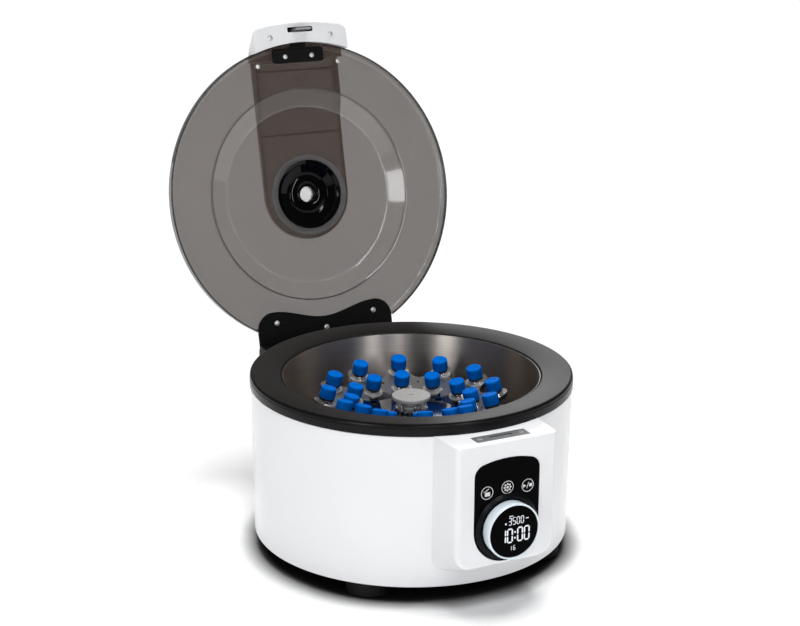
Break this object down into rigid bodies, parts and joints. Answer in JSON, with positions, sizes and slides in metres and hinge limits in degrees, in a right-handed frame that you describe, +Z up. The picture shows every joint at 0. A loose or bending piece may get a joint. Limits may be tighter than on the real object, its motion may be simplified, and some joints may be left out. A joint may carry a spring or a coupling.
{
  "type": "low-speed centrifuge",
  "caption": "Small round benchtop centrifuge with a smoked clear lid standing open over an angled rotor loaded with blue-capped tubes, and a knob with a round display.",
  "frame": {"origin": "on the bench, under the middle of the machine's outline with its lid open", "axes": "+Z up; the control panel faces -Y and the lid's hinge is at +Y; +X is to the right as the user faces the panel"},
  "size_m": [0.3348, 0.5084, 0.5042],
  "materials": {
    "housing_white": "smooth gloss",
    "black_satin": "satin",
    "black_gloss": "high gloss",
    "dark_rubber": "matt",
    "bowl_steel": "brushed round",
    "bright_steel": "brushed",
    "rotor_aluminium": "satin",
    "cap_blue": "semi-gloss",
    "knob_silver": "pale satin",
    "motor_zinc": "satin",
    "board_green": "lacquered",
    "lid_smoked": "clear, smoked",
    "spine_smoked": "clear, dark smoked"
  },
  "bodies": {
    "base": {"housing": "housing_white", "base_plate": "bowl_steel", "foot_front_left": "dark_rubber", "foot_front_right": "dark_rubber", "foot_rear_right": "dark_rubber", "foot_rear_left": "dark_rubber", "collar": "black_satin", "bowl": "bowl_steel", "bowl_seal": "dark_rubber", "motor_damper": "dark_rubber", "motor_body": "motor_zinc", "motor_bearing": "bright_steel", "shaft_boot": "dark_rubber", "control_panel": "black_gloss", "control_board": "board_green", "strike_plate": "bright_steel", "power_board": "board_green", "mains_inlet": "black_satin", "hinge_block": "black_satin", "hinge_pin": "bright_steel"},
    "lid": {"lid_shell": "lid_smoked", "lid_spine": "spine_smoked", "lid_port": "black_gloss", "lid_handle": "housing_white", "latch_hook": "black_satin", "hinge_saddle": "black_satin"},
    "spindle": {"motor_shaft": "bright_steel", "rotor": "rotor_aluminium", "rotor_nut": "rotor_aluminium", "tube_outer_01": "cap_blue", "tube_outer_02": "cap_blue", "tube_outer_03": "cap_blue", "tube_outer_04": "cap_blue", "tube_outer_05": "cap_blue", "tube_outer_06": "cap_blue", "tube_outer_07": "cap_blue", "tube_outer_08": "cap_blue", "tube_outer_09": "cap_blue", "tube_outer_10": "cap_blue", "tube_outer_11": "cap_blue", "tube_outer_12": "cap_blue", "tube_inner_01": "cap_blue", "tube_inner_02": "cap_blue", "tube_inner_03": "cap_blue", "tube_inner_04": "cap_blue", "tube_inner_05": "cap_blue", "tube_inner_06": "cap_blue", "tube_inner_07": "cap_blue", "tube_inner_08": "cap_blue", "tube_inner_09": "cap_blue", "tube_inner_10": "cap_blue", "tube_inner_11": "cap_blue", "tube_inner_12": "cap_blue"},
    "display_button": {"display": "black_gloss"},
    "knob": {"knob_ring": "knob_silver"},
    "lid_key": {"key_lid": "black_gloss"},
    "settings_key": {"key_settings": "black_gloss"},
    "start_key": {"key_start": "black_gloss"},
    "switch_rocker": {"power_switch": "black_satin"},
    "bolt": {"latch_bolt": "bright_steel"}
  },
  "joints": [
    {"name": "lid_hinge", "type": "hinge", "parent": "base", "child": "lid", "pos_m": [0, 0.12839, 0.15649], "axis": [-1, 0, 0], "range_deg": [-103.3, 0]},
    {"name": "rotor_spin", "type": "hinge", "parent": "base", "child": "spindle", "pos_m": [0, -0.04361, 0.12], "axis": [0, 0, 1], "continuous": true},
    {"name": "knob_press", "type": "slide", "parent": "base", "child": "display_button", "axis": [0, 1, 0], "range_m": [0, 0.0015], "stiffness_N_per_m": 800},
    {"name": "knob_turn", "type": "hinge", "parent": "display_button", "child": "knob", "pos_m": [0, -0.24361, 0.0865], "axis": [0, -1, 0], "continuous": true},
    {"name": "key_lid_press", "type": "slide", "parent": "base", "child": "lid_key", "axis": [0, 1, 0], "range_m": [0, 0.0005], "stiffness_N_per_m": 800},
    {"name": "key_settings_press", "type": "slide", "parent": "base", "child": "settings_key", "axis": [0, 1, 0], "range_m": [0, 0.0005], "stiffness_N_per_m": 800},
    {"name": "key_start_press", "type": "slide", "parent": "base", "child": "start_key", "axis": [0, 1, 0], "range_m": [0, 0.0005], "stiffness_N_per_m": 800},
    {"name": "switch_rock", "type": "hinge", "parent": "base", "child": "switch_rocker", "pos_m": [0.022, 0.11839, 0.048], "axis": [1, 0, 0], "range_deg": [0, 14]},
    {"name": "bolt_slide", "type": "slide", "parent": "base", "child": "bolt", "axis": [0, -1, 0], "range_m": [0, 0.008], "stiffness_N_per_m": 200}
  ]
}
